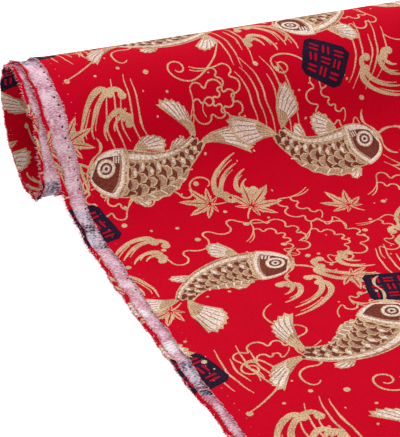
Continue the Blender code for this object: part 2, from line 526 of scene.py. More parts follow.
for place, heading, sway, side in (
        ((46, 42), 152, 76, 1),
        ((138, 34), 24, -84, -1),
        ((230, 50), 200, 80, 1),
        ((74, 124), 64, -100, 1),
        ((180, 128), 172, 100, -1),
        ((236, 140), 306, -86, 1),
        ((38, 208), 332, 86, -1),
        ((208, 216), 82, 100, 1)):
    fish = Fish(place, heading, sway, side)
    koi_fins(fish)
    koi_back_fin(fish)
    koi_body(fish)
    koi_head(fish)


# Sprinkled dots of the print
# Small drops of foil of a few sizes, strewn over the whole repeat after all the rest.
sprinkled_dots = 90
sprinkled_radii = (0.6, 0.8, 1.0, 1.6)
chance = random.Random(7)
for _ in range(sprinkled_dots):
    spot = np.array([chance.uniform(0, repeat_width), chance.uniform(0, repeat_length)])
    radius = chance.choice(sprinkled_radii)
    dot("gold", spot, radius, corners=6, squash=chance.uniform(0.7, 1.0), heading=chance.uniform(0, 180))


# One repeat as triangles
# The screens and the foil die print the same repeat over and over. Here it is crossed with
# a plain net, so that it can bend with the cloth, and cut into triangles, each of the ink
# that was laid down last over it.
inks = ["red", "gold", "chestnut", "tan", "off-white", "grey", "dark blue"]
net_step = 7.5
bend_columns = [round(266.8 + 0.4 * i, 3) for i in range(20)]   # for the fold and the curl
bend_row_step = 2.6
crossing_slack = 1e-5           # nearer corners are one
border_slack = 1e-4             # nearer corners lie on the border
straightness = 0.05             # a corner this near to a straight line is left out
longest_edge = 7.0
borders = ((0, repeat_width), (1, repeat_length))   # each direction and where it ends


def spread(length, step):
    return np.linspace(0.0, length, round(length / step) + 1)


def net_points():
    columns = spread(repeat_width, net_step)
    return [(column, row) for row in spread(repeat_length, net_step) for column in columns]


def column_lines(columns, first):
    """Straight lines along the cloth, close together where it bends. Their corners are
    numbered from the first one on."""
    rows = list(spread(repeat_length, bend_row_step))
    points = [(column, row) for column in columns for row in rows]
    edges = []
    for i in range(len(columns)):
        start = first + i * len(rows)
        edges += [(start + k, start + k + 1) for k in range(len(rows) - 1)]
    return points, edges


def triangulate(points, edges):
    """Triangles of the points that lie in the repeat, with the edges kept whole."""
    cut = delaunay_2d_cdt([Vector(point) for point in points], edges, [], 0, crossing_slack, False)
    corners = np.array([tuple(corner) for corner in cut[0]])
    triangles = np.array([list(face) for face in cut[2]])
    middle = corners[triangles].mean(axis=1)
    inside = (middle > 0.0).all(axis=1) & (middle < (repeat_width, repeat_length)).all(axis=1)
    used, triangles = np.unique(triangles[inside], return_inverse=True)
    corners = corners[used]
    for axis, end in borders:
        for place in (0.0, end):
            corners[np.abs(corners[:, axis] - place) < border_slack, axis] = place
    return match_borders(corners), triangles.reshape(-1, 3)


def match_borders(corners):
    """Gives both ends of the repeat exactly the same places along their shared border."""
    for axis, end in borders:
        other = 1 - axis
        first = np.flatnonzero(corners[:, axis] == 0.0)
        last = np.flatnonzero(corners[:, axis] == end)
        first = first[np.argsort(corners[first, other])]
        last = last[np.argsort(corners[last, other])]
        if len(first) != len(last):
            raise RuntimeError("the repeat's borders do not match")
        corners[last, other] = corners[first, other]
    return corners


def winding(outline, points):
    """How many times the outline goes round each point."""
    turns = np.zeros(len(points), dtype=int)
    x, y = points.T
    for start, end in zip(outline, np.roll(outline, -1, axis=0)):
        side = (end[0] - start[0]) * (y - start[1]) - (x - start[0]) * (end[1] - start[1])
        turns += (start[1] <= y) & (end[1] > y) & (side > 0)
        turns -= (start[1] > y) & (end[1] <= y) & (side < 0)
    return turns


def ink_on_top(points):
    """Which ink was laid down last at each point."""
    found = np.zeros(len(points), dtype=int)
    for ink, outline, lowest, highest in laid:
        near = np.flatnonzero((points >= lowest).all(axis=1) & (points <= highest).all(axis=1))
        found[near[winding(outline, points[near]) != 0]] = ink
    return found


def edges_of(triangles):
    return np.vstack([triangles[:, (0, 1)], triangles[:, (1, 2)], triangles[:, (2, 0)]])


def borders_of_inks(triangles, ink_of):
    """The edges of a net that have a different ink on each side."""
    edges = np.sort(edges_of(triangles), axis=1)
    inked = np.tile(ink_of, 3)
    order = np.lexsort((edges[:, 1], edges[:, 0]))
    edges, inked = edges[order], inked[order]
    paired = (edges[1:] == edges[:-1]).all(axis=1) & (inked[1:] != inked[:-1])
    return edges[1:][paired]


def straightened(points, edges):
    """The same lines without the corners that lie almost straight between two others."""
    beside = {}
    for start, end in edges.tolist():
        beside.setdefault(start, set()).add(end)
        beside.setdefault(end, set()).add(start)
    for corner, neighbours in list(beside.items()):
        on_border = points[corner] == (0.0, 0.0)
        on_border |= points[corner] == (repeat_width, repeat_length)
        if len(neighbours) != 2 or on_border.any():
            continue
        before, after = neighbours
        step = points[after] - points[before]
        reach = math.hypot(*step)
        aside = points[corner] - points[before]
        if after in beside[before] or reach > longest_edge:
            continue
        if abs(step[0] * aside[1] - step[1] * aside[0]) < straightness * reach:
            beside[before] = (beside[before] - {corner}) | {after}
            beside[after] = (beside[after] - {corner}) | {before}
            beside[corner] = set()
    return [(start, end) for start, ends in beside.items() for end in ends if start < end]


def ring_of_edges(first, count):
    return [(first + i, first + (i + 1) % count) for i in range(count)]


def face_net(columns):
    """Corners, triangles and inks of one repeat of the printed face."""
    points = [tuple(corner) for corner in line_corners]
    for axis, end in borders:
        for place, opposite in ((0.0, end), (end, 0.0)):
            facing = line_corners[line_corners[:, axis] == place]
            facing[:, axis] = opposite
            points += [tuple(corner) for corner in facing]
    edges = [tuple(edge) for edge in line_edges.tolist()]
    edges += ring_of_edges(len(points), len(repeat_corners))
    points += repeat_corners + net_points()
    more_points, more_edges = column_lines(columns, len(points))
    corners, triangles = triangulate(points + more_points, edges + more_edges)
    return corners, triangles, ink_on_top(corners[triangles].mean(axis=1))


def back_net(face_corners, columns, inked_from):
    """The same for the back, where the print comes through only beyond a given column.
    It has the same corners on its border as the face."""
    on_border = (face_corners == 0.0).any(axis=1)
    on_border |= (face_corners == (repeat_width, repeat_length)).any(axis=1)
    points = [tuple(corner) for corner in face_corners[on_border]]
    edges = []
    for axis, end in borders:
        for place in (0.0, end):
            line = [i for i, point in enumerate(points) if point[axis] == place]
            line.sort(key=lambda i: points[i][1 - axis])
            edges += list(zip(line, line[1:]))
    for point in net_points():
        if 0 < point[0] < repeat_width and 0 < point[1] < repeat_length:
            points.append(point)
    more_points, more_edges = column_lines(columns, len(points))
    points += more_points
    edges += more_edges
    beyond = line_edges[(line_corners[line_edges][:, :, 0] > inked_from).all(axis=1)]
    used, beyond = np.unique(beyond, return_inverse=True)
    edges += [(len(points) + start, len(points) + end) for start, end in beyond.reshape(-1, 2).tolist()]
    points += [tuple(corner) for corner in line_corners[used]]
    corners, triangles = triangulate(points, edges)
    middle = corners[triangles].mean(axis=1)
    return corners, triangles, np.where(middle[:, 0] > inked_from, ink_on_top(middle), 0)


# Every outline that touches the repeat, with the copies from the repeats beside it
laid = []
for ink, outline in prints:
    for across in (-repeat_width, 0.0, repeat_width):
        for along in (-repeat_length, 0.0, repeat_length):
            moved = outline + (across, along)
            lowest, highest = moved.min(axis=0), moved.max(axis=0)
            if (highest > 0).all() and (lowest < (repeat_width, repeat_length)).all():
                laid.append((inks.index(ink), moved, lowest, highest))

# The lines of the print that show, once all the outlines have been crossed with each other
repeat_corners = [(0, 0), (repeat_width, 0), (repeat_width, repeat_length), (0, repeat_length)]
outline_points = list(repeat_corners)
outline_edges = ring_of_edges(0, len(repeat_corners))
for _, outline, _, _ in laid:
    outline_edges += ring_of_edges(len(outline_points), len(outline))
    outline_points += [tuple(point) for point in outline]
crossed_corners, crossed_triangles = triangulate(outline_points, outline_edges)
inks_between = ink_on_top(crossed_corners[crossed_triangles].mean(axis=1))
line_edges = straightened(crossed_corners, borders_of_inks(crossed_triangles, inks_between))
used, line_edges = np.unique(np.array(line_edges), return_inverse=True)
line_corners, line_edges = crossed_corners[used], line_edges.reshape(-1, 2)


# How the cloth lies
# The cotton is folded in half along its length with the face outwards, and rolled loosely
# from its inner end. The inner turn has slid out to the left, and the selvedge of the
# lower layer is curled over on itself.
cloth_width = 4 * repeat_width / 1000
cloth_length = 3 * repeat_length / 1000
cloth_thickness = 0.0004
layer_pitch = 0.00085           # from the middle of one layer to the middle of the next
turn_pitch = 2 * layer_pitch
left_end = -0.28245             # of the selvedge of the inner turn
axis_y = 0.15045                # of the roll

roll_radius = 0.0396            # outer face, where the loose end leaves the roll
leave_angle = math.radians(82.5)    # from the top of the roll, down its near side
turned_in_all = 725.0           # degrees, from the leaving point to the inner end
turn_step = 1.5                 # degrees from one point of the roll to the next
flat_points, sweep_points = 60, 160
flat_spot_depth = 0.0008        # how far the lowest part of the roll is pressed flat
flat_spot_angle = math.radians(25)  # from straight down, where the pressing ends
landing_reach = 0.0790          # from the leaving point to where it lies flat
drop_handle = 0.0280            # how long the loose end keeps the roll's slope
floor_handle = 0.0420           # how long it keeps the slope of the surface
flat_length = 0.2220            # the part that lies flat, up to the cut edge

middle_radius = roll_radius - (layer_pitch + cloth_thickness) / 2
rest_height = (layer_pitch + cloth_thickness) / 2
shrink_per_radian = turn_pitch / (2 * math.pi)
bottom_turned = math.pi + leave_angle
bottom_radius = middle_radius - shrink_per_radian * bottom_turned
axis_height = bottom_radius + rest_height - flat_spot_depth

# Low waves in the loose end, and the soft up and down of the roll's top. Each wave has its
# turn in radians for each metre of X and of Y, and where it starts.
Wave = namedtuple("Wave", ["per_x", "per_y", "start"])
sheet_waves = [Wave(11.0, 17.0, 0.0), Wave(23.0, -9.0, 1.3)]
wave_threshold = 0.8            # the cloth lies flat where the waves add up to less
sheet_unevenness = 0.0011
roll_wave = Wave(9.0, 0.0, 0.6)
roll_unevenness = 0.0009

# The inner turn stands a little off the next one near its selvedge, and the upper selvedge
# lifts here and there
slack_in_roll = 0.0006
slack_width = 0.018
slack_from, slack_over = 4.4, 1.4   # radians turned into the roll
selvedge_lift = 0.0005
lift_width = 0.007
curl_droop = 0.8                # how far the strip beyond the curl's bend sinks
tiny_step = 0.00005             # to find the way in which the cloth runs

# The selvedges by the distance along the cloth from its front end, in metres: how far the
# lower one lies in from the left end, how far the upper one stops short of it, and the
# radius and the flat strip of the curl, all in millimetres
Lay = namedtuple("Lay", ["distance", "slid", "inset", "curl", "strip"])
selvedge_lay = [
    Lay(0.000, 10.2, 5.6, 0.7, 0.9),
    Lay(0.100, 10.2, 5.7, 0.7, 0.9),
    Lay(0.130, 9.1, 7.2, 0.7, 1.0),
    Lay(0.160, 9.7, 7.9, 0.7, 1.0),
    Lay(0.190, 9.9, 8.6, 0.7, 1.1),
    Lay(0.216, 10.2, 10.0, 0.8, 1.2),
    Lay(0.232, 11.2, 9.6, 0.8, 1.0),
    Lay(0.250, 10.8, 9.6, 0.8, 0.8),
    Lay(0.271, 9.9, 9.1, 0.8, 0.9),
    Lay(0.283, 9.0, 10.0, 0.8, 1.1),
    Lay(0.301, 9.5, 10.8, 0.8, 1.2),
    Lay(0.312, 8.2, 12.4, 0.7, 1.0),
    Lay(0.326, 6.7, 11.8, 0.7, 1.1),
    Lay(0.335, 5.3, 13.1, 0.6, 1.1),
    Lay(0.350, 5.7, 11.4, 0.6, 0.7),
    Lay(0.370, 4.8, 11.0, 0.6, 0.4),
    Lay(0.440, 3.8, 11.5, 0.5, 0.8),
    Lay(0.500, 4.0, 11.5, 0.5, 1.0),
    Lay(0.555, 1.2, 11.5, 0.5, 1.0),
    Lay(0.592, 0.0, 11.5, 0.5, 1.0),
    Lay(0.620, 0.8, 11.5, 0.5, 1.0),
    Lay(0.680, 3.5, 11.5, 0.5, 1.0),
    Lay(0.720, 5.0, 11.5, 0.5, 1.0),
    Lay(0.763, 5.0, 11.5, 0.5, 1.0),
]
lay_table = {field: [getattr(lay, field) for lay in selvedge_lay] for field in Lay._fields}


def laid_at(along, field):
    """A value of the table at each distance along the cloth, in metres."""
    return np.interp(along, lay_table["distance"], lay_table[field]) / 1000


def ripple(along, size, turn_per_metre, start=0.0):
    return size * np.sin(along * turn_per_metre + start)


def smooth_step(value):
    value = np.clip(value, 0.0, 1.0)
    return value * value * (3.0 - 2.0 * value)


def wave_height(wave, x, y):
    return np.sin(wave.per_x * x + wave.per_y * y + wave.start)


def section_line():
    """The cloth seen from its end: the distance along it, Y and Z about the roll's axis,
    the slope, and the angle turned into the roll."""
    roll_end = np.array([-math.sin(leave_angle), math.cos(leave_angle)]) * middle_radius
    roll_end[1] += axis_height
    down = np.array([-math.cos(leave_angle), -math.sin(leave_angle)])
    landing = np.array([roll_end[0] - landing_reach, rest_height])
    front = landing - (flat_length, 0.0)
    flat = np.linspace(front, landing, flat_points, endpoint=False)

    share = np.linspace(0.0, 1.0, sweep_points, endpoint=False)[:, None]
    rest = 1.0 - share
    near_floor = landing + (floor_handle, 0.0)
    near_roll = roll_end + drop_handle * down
    sweep = rest ** 3 * landing + 3 * rest ** 2 * share * near_floor
    sweep += 3 * rest * share ** 2 * near_roll + share ** 3 * roll_end

    turned = np.radians(np.arange(0.0, turned_in_all, turn_step))
    angle = leave_angle - turned
    radius = middle_radius - shrink_per_radian * turned
    height = axis_height + radius * np.cos(angle)
    pressed = np.cos(angle) < -math.cos(flat_spot_angle)
    height[pressed] = np.maximum(height, axis_height - radius + flat_spot_depth)[pressed]
    roll = np.column_stack([-radius * np.sin(angle), height])

    line = np.vstack([flat, sweep, roll])
    steps = np.linalg.norm(np.diff(line, axis=0), axis=1)
    distance = np.concatenate([[0.0], np.cumsum(steps)])
    slope = np.unwrap(np.arctan2(*np.gradient(line, distance, axis=0).T[::-1]))
    turned = np.concatenate([np.zeros(len(line) - len(roll)), turned])
    return distance, line, slope, turned


section_distance, section_points, section_slope, section_turned = section_line()


def cloth_middle(across, along):
    """Where a point of the cloth lies, by its distance in metres from the upper selvedge
    and from the front end."""
    lower_edge = laid_at(along, "slid") + ripple(along, 0.0003, 190) + ripple(along, 0.0002, 517, 1)
    upper_edge = lower_edge + laid_at(along, "inset") + ripple(along, 0.0002, 260, 2)
    curl = laid_at(along, "curl")
    strip = laid_at(along, "strip") + ripple(along, 0.0004, 310)
    fold = layer_pitch / 2
    fold_x = (cloth_width - math.pi * (fold + curl) - strip + upper_edge + lower_edge + curl) / 2

    bend = (across - (fold_x - upper_edge)) / fold
    from_selvedge = cloth_width - across
    roll_over = (strip + math.pi * curl - from_selvedge) / curl
    past_bend = np.maximum(strip - from_selvedge, 0.0)

    x = upper_edge + across
    height = np.full_like(x, fold)
    bending = np.clip(bend, 0.0, math.pi)
    on_fold = bend > 0.0
    x = np.where(on_fold, fold_x + fold * np.sin(bending), x)
    height = np.where(on_fold, fold * np.cos(bending), height)
    x = np.where(bend > math.pi, fold_x - fold * (bend - math.pi), x)
    curling = np.clip(roll_over, 0.0, math.pi)
    on_curl = roll_over > 0.0
    x = np.where(on_curl, lower_edge + curl * (1.0 - np.sin(curling)) + past_bend, x)
    droop = curl_droop * past_bend * curl / strip
    height = np.where(on_curl, curl * (1.0 - np.cos(curling)) - fold - droop, height)

    lifted = smooth_step(1.0 - across / lift_width) * (0.5 + ripple(along, 0.5, 83, 0.7))
    height = height + selvedge_lift * lifted
    turned = np.interp(along, section_distance, section_turned)
    out_of_roll = smooth_step((slack_width - x) / slack_width)
    out_of_roll = out_of_roll * smooth_step((turned - slack_from) / slack_over)
    height = height + slack_in_roll * out_of_roll

    x = x + left_end
    slope = np.interp(along, section_distance, section_slope)
    y = np.interp(along, section_distance, section_points[:, 0]) - height * np.sin(slope)
    z = np.interp(along, section_distance, section_points[:, 1]) + height * np.cos(slope)
    on_floor = smooth_step((-y - landing_reach) / landing_reach)
    waves = sum(wave_height(wave, x, y) for wave in sheet_waves) - wave_threshold
    up_the_roll = smooth_step(z / axis_height - 0.5)
    z = z + sheet_unevenness * on_floor * np.maximum(waves, 0.0) ** 2
    z = z + roll_unevenness * up_the_roll * wave_height(roll_wave, x, y)
    return np.column_stack([x, y + axis_y, z])


def cloth_face(across, along, height):
    """Points at a height over the middle of the cloth, towards its printed face, and the
    way in which the face looks there."""
    over = cloth_middle(across + tiny_step, along) - cloth_middle(across - tiny_step, along)
    further = cloth_middle(across, along + tiny_step) - cloth_middle(across, along - tiny_step)
    facing = np.cross(over, further)
    facing /= np.linalg.norm(facing, axis=1)[:, None]
    return cloth_middle(across, along) + facing * height, facing


# Inks, foil and the bare back
# Matt cotton, with the inks soaked in and the speckled foil lying on top of it. The back
# shows a mottled pale pink, with a little of the print coming through. The speckle and the
# mottling are random blotches and painted shade of the weave: each colour is painted darker
# on the sunk threads and lighter on the raised ones.
cotton_gloss = 0.03             # specular level of all the cotton
blotches_per_metre = 90.0
weave_depth = 0.0003
# Painted shade of the weave, with random blotches: noise here picks the darker colour of the sunk
# threads or the lighter colour of the raised ones
shade_and_blotches_from, shade_and_blotches_to = 0.34, 0.66   # noise below the first is sunk, above the second raised


def weave_shade():
    """Group: how far the raised threads show, from 0 to 1, as painted shade of the weave mixed
    with random blotches, and the normal that they give.
    """
    group = bpy.data.node_groups.new("cotton weave", "ShaderNodeTree")
    for name, in_out, kind in (
            ("Threads per Metre", "INPUT", "NodeSocketFloat"),
            ("Relief", "INPUT", "NodeSocketFloat"),
            ("Blotches", "INPUT", "NodeSocketFloat"),
            ("Thread Stretch", "INPUT", "NodeSocketVector"),
            ("Shade and Blotches", "OUTPUT", "NodeSocketFloat"),
            ("Normal", "OUTPUT", "NodeSocketVector")):
        group.interface.new_socket(name, in_out=in_out, socket_type=kind)
    nodes = group.nodes
    given = nodes.new("NodeGroupInput")
    place = nodes.new("ShaderNodeUVMap")
    place.uv_map = "cloth"
    stretched = nodes.new("ShaderNodeVectorMath")
    stretched.operation = "MULTIPLY"
    threads = nodes.new("ShaderNodeTexNoise")
    threads.inputs["Detail"].default_value = 2.0
    blotches = nodes.new("ShaderNodeTexNoise")
    blotches.inputs["Scale"].default_value = blotches_per_metre
    centred = nodes.new("ShaderNodeMath")
    centred.operation = "SUBTRACT"
    centred.inputs[1].default_value = 0.5
    both = nodes.new("ShaderNodeMath")
    both.operation = "MULTIPLY_ADD"
    # Painted shade of the weave mixed with random blotches: 0 gives the sunk threads' darker colour, 1
    # the raised threads' lighter one
    shade_and_blotches = nodes.new("ShaderNodeMapRange")
    shade_and_blotches.interpolation_type = "SMOOTHSTEP"
    shade_and_blotches.inputs["From Min"].default_value = shade_and_blotches_from
    shade_and_blotches.inputs["From Max"].default_value = shade_and_blotches_to
    bump = nodes.new("ShaderNodeBump")
    bump.inputs["Distance"].default_value = weave_depth
    result = nodes.new("NodeGroupOutput")

    link = group.links.new
    link(place.outputs["UV"], stretched.inputs[0])
    link(given.outputs["Thread Stretch"], stretched.inputs[1])
    link(stretched.outputs[0], threads.inputs["Vector"])
    link(given.outputs["Threads per Metre"], threads.inputs["Scale"])
    link(place.outputs["UV"], blotches.inputs["Vector"])
    link(blotches.outputs["Fac"], centred.inputs[0])
    link(centred.outputs[0], both.inputs[0])
    link(given.outputs["Blotches"], both.inputs[1])
    link(threads.outputs["Fac"], both.inputs[2])
    link(both.outputs[0], shade_and_blotches.inputs["Value"])
    link(shade_and_blotches.outputs["Result"], result.inputs["Shade and Blotches"])
    link(given.outputs["Relief"], bump.inputs["Strength"])
    link(threads.outputs["Fac"], bump.inputs["Height"])
    link(bump.outputs["Normal"], result.inputs["Normal"])
    return group


weave = weave_shade()


def linear(red, green, blue):
    """Colour for the shader from the usual 0 to 255 values."""
    values = [value / 255 for value in (red, green, blue)]
    return [value / 12.92 if value <= 0.04045 else ((value + 0.055) / 1.055) ** 2.4 for value in values]


# The two colours paint the weave's shade: the darker on the sunk threads, the lighter on the raised ones
def cotton(name, sunk_in_shade, raised_in_light, threads=1100.0, relief=0.25, roughness=0.85, blotches=0.3,
           stretch=(1.0, 1.0, 1.0)):
    """Cotton whose colour goes from the sunk threads', darker as painted shade, to the raised
    ones', lighter as painted light, with random blotches between.
    """
    material = bpy.data.materials.new(name)
    material.use_nodes = True
    nodes = material.node_tree.nodes
    shader = nodes["Principled BSDF"]
    shader.inputs["Roughness"].default_value = roughness
    shader.inputs["Specular IOR Level"].default_value = cotton_gloss
    uneven = nodes.new("ShaderNodeGroup")
    uneven.node_tree = weave
    uneven.inputs["Threads per Metre"].default_value = threads
    uneven.inputs["Relief"].default_value = relief
    uneven.inputs["Blotches"].default_value = blotches
    uneven.inputs["Thread Stretch"].default_value = stretch
    tint = nodes.new("ShaderNodeMix")
    tint.data_type = "RGBA"
    tint.inputs["A"].default_value = (*linear(*sunk_in_shade), 1.0)
    tint.inputs["B"].default_value = (*linear(*raised_in_light), 1.0)
    link = material.node_tree.links.new
    link(uneven.outputs["Shade and Blotches"], tint.inputs["Factor"])
    link(tint.outputs["Result"], shader.inputs["Base Color"])
    link(uneven.outputs["Normal"], shader.inputs["Normal"])
    return material


# One material for each ink, in the order of the inks, then the same for the back. Each has
# a darker colour for the sunk threads and a lighter one for the raised threads: painted shade
# of the weave.
print_materials = [
    cotton("red ground", (170, 0, 25), (181, 1, 30)),
    cotton("gold foil", (146, 112, 84), (208, 180, 144), threads=1600.0, relief=0.4, roughness=0.6),
    cotton("chestnut ink", (84, 34, 28), (118, 58, 48)),
    cotton("tan ink", (128, 92, 72), (172, 140, 114)),
    cotton("off-white ink", (180, 152, 138), (224, 212, 202)),
    cotton("grey ink", (120, 104, 98), (146, 132, 124)),
    cotton("dark blue ink", (24, 12, 30), (40, 26, 46)),
]
back_materials = [
    cotton(name, sunk_in_shade, raised_in_light, threads=1500.0, relief=0.5, roughness=0.9, blotches=0.7,
           stretch=(0.4, 1.0, 1.0))
    for name, sunk_in_shade, raised_in_light in (
        ("back", (170, 108, 126), (214, 188, 198)),
        ("back under gold", (178, 130, 138), (212, 194, 198)),
        ("back under chestnut", (146, 98, 106), (204, 186, 190)),
        ("back under tan", (178, 140, 146), (212, 196, 200)),
        ("back under off-white", (200, 186, 196), (226, 222, 228)),
        ("back under grey", (146, 130, 140), (200, 194, 200)),
        ("back under dark blue", (26, 16, 42), (186, 176, 190)),
    )
]
cut_edge_material = cotton("cut edge", (150, 12, 32), (206, 96, 112))
cloth_materials = print_materials + back_materials + [cut_edge_material]


# Lengths of the cloth
# The one piece of cotton in six parts that meet without a gap, three along it and two
# across: the upper layer with the fold, and the lower layer. Each is a closed sheet with
# the print on its face and a plain net on its back.
ghost_from = 252.0              # the print comes through the back beyond this column
no_ghost = repeat_width + 1     # it doesn't come through at all
key_base = 10 ** 7              # more than any number of a corner or place in microns


def edge_keys(edges):
    """One whole number for each edge, the same from both sides."""
    return np.sort(edges.astype(np.int64), axis=1) @ (key_base, 1)


def net_keys(points):
    """One whole number for each place on the flat cloth, to find the same place again."""
    return np.round(points * 1000).astype(np.int64) @ (key_base, 1)


def sound_triangles(triangles):
    """Which triangles still have three corners and don't lie on another with the same ones."""
    corners = np.sort(triangles, axis=1)
    _, alike, count = np.unique(corners, axis=0, return_inverse=True, return_counts=True)
    return (np.diff(corners, axis=1) > 0).all(axis=1) & (count[alike.reshape(-1)] == 1)


def joined(repeats, columns, row):
    """Repeats side by side as one net, without doubled points where they meet."""
    points, triangles, ink_of, first = [], [], [], 0
    for (corners, faces, inked), column in zip(repeats, columns):
        points.append(corners + (column * repeat_width, row * repeat_length))
        triangles.append(faces + first)
        ink_of.append(inked)
        first += len(corners)
    points = np.vstack(points)
    _, kept, same = np.unique(net_keys(points), return_index=True, return_inverse=True)
    triangles = same.reshape(-1)[np.vstack(triangles)]
    sound = sound_triangles(triangles)
    used, triangles = np.unique(triangles[sound], return_inverse=True)
    return points[kept][used], triangles.reshape(-1, 3), np.concatenate(ink_of)[sound]


def rim_of(triangles):
    """The open edges of a net, in the order in which its triangles run."""
    edges = edges_of(triangles)
    _, first, count = np.unique(edge_keys(edges), return_index=True, return_counts=True)
    return edges[first[count == 1]]


def face_normals(points, triangles):
    across = np.cross(points[triangles[:, 1]] - points[triangles[:, 0]],
                      points[triangles[:, 2]] - points[triangles[:, 0]])
    return across / np.maximum(np.linalg.norm(across, axis=1), 1e-12)[:, None]


def closed_sheet(face, back):
    """The face and the back joined by a rim: points, triangles, rim triangles, inks, and
    the flat place and the normal of every corner."""
    face_points, face_triangles, face_ink = face
    back_points, back_triangles, back_ink = back
    over, facing = cloth_face(*(face_points / 1000).T, cloth_thickness / 2)
    under, facing_back = cloth_face(*(back_points / 1000).T, -cloth_thickness / 2)
    points = np.vstack([over, under])

    rim = rim_of(face_triangles)
    count = len(face_points)
    back_keys = net_keys(back_points)
    order = np.argsort(back_keys)
    below = order[np.searchsorted(back_keys[order], net_keys(face_points)[rim])] + count
    rim_triangles = np.vstack([
        np.column_stack([rim[:, 1], rim[:, 0], below[:, 0]]),
        np.column_stack([rim[:, 1], below[:, 0], below[:, 1]]),
    ])
    triangles = np.vstack([face_triangles, back_triangles[:, ::-1] + count, rim_triangles])
    material_of = np.concatenate([
        face_ink,
        back_ink + len(print_materials),
        np.full(len(rim_triangles), len(cloth_materials) - 1),
    ])
    flat_place = np.vstack([face_points, back_points])[triangles.ravel()] / 1000
    normals = np.vstack([facing, -facing_back])[triangles.ravel()]
    rim_start = 3 * (len(triangles) - len(rim_triangles))
    normals[rim_start:] = np.repeat(face_normals(points, rim_triangles), 3, axis=0)
    return points, triangles, rim_triangles, material_of, flat_place, normals


def place_part(name, face, back):
    """Adds one part of the cloth to the scene, with smooth faces and a sharp rim."""
    points, triangles, rim_triangles, material_of, flat_place, normals = closed_sheet(face, back)
    mesh = bpy.data.meshes.new(name)
    mesh.vertices.add(len(points))
    mesh.vertices.foreach_set("co", points.ravel())
    mesh.loops.add(3 * len(triangles))
    mesh.loops.foreach_set("vertex_index", triangles.ravel())
    mesh.polygons.add(len(triangles))
    mesh.polygons.foreach_set("loop_start", np.arange(0, 3 * len(triangles), 3))
    mesh.update(calc_edges=True)
    for material in cloth_materials:
        mesh.materials.append(material)
    mesh.polygons.foreach_set("material_index", material_of)
    mesh.uv_layers.new(name="cloth").data.foreach_set("uv", flat_place.ravel())
    mesh.shade_smooth()
    edges = np.empty(2 * len(mesh.edges), dtype=np.int32)
    mesh.edges.foreach_get("vertices", edges)
    rim_keys = edge_keys(edges_of(rim_triangles))
    mesh.edges.foreach_set("use_edge_sharp", np.isin(edge_keys(edges.reshape(-1, 2)), rim_keys))
    given_normals = mesh.attributes.new("custom_normal", "FLOAT_VECTOR", "CORNER")
    given_normals.data.foreach_set("vector", normals.ravel())

    part = bpy.data.objects.new(name, mesh)
    bpy.context.scene.collection.objects.link(part)
    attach(part, "root")
    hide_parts("cloth")


flat_face = face_net([])
bent_face = face_net(bend_columns)
flat_back = back_net(flat_face[0], [], no_ghost)
fold_back = back_net(bent_face[0], bend_columns, no_ghost)
curl_back = back_net(bent_face[0], bend_columns, ghost_from)
for row in range(3):
    for layer, columns, edge_back in (("upper", (0, 1), fold_back), ("lower", (2, 3), curl_back)):
        face = joined([flat_face, bent_face], columns, row)
        back = joined([flat_back, edge_back], columns, row)
        place_part(f"cloth_{layer}_{row + 1}", face, back)


# Frayed threads
# Short ends of warp and weft stand out of the two selvedges, the curl and the two cut ends.
# They are red where the ink reached them and pale pink where it didn't.
thread_sides = 3
thread_lean = 0.55              # how far they lean about at random
shortest_thread = 0.3           # as a share of the longest
thread_inset = 0.0002           # how far in from an edge they start
curl_from, curl_to = 0.9, 2.3   # radians round the curl, between which they stand
curl_height = 0.0001            # how far over the middle of the curled cloth they start
cut_end_spacing = 0.0018
cut_end_push = 1.6              # how much straighter those of the cut ends stand out
end_margin = 0.0005
near_surface = 0.0025           # lower threads turn upwards, clear of the surface
upward = 0.62
Thread = namedtuple("Thread", ["name", "material", "spacing", "upper_spacing", "radius", "longest",
                               "seed"])


def plain_thread(name, colour):
    material = bpy.data.materials.new(name)
    material.use_nodes = True
    shader = material.node_tree.nodes["Principled BSDF"]
    shader.inputs["Base Color"].default_value = (*linear(*colour), 1.0)
    shader.inputs["Roughness"].default_value = 0.9
    shader.inputs["Specular IOR Level"].default_value = cotton_gloss
    return material


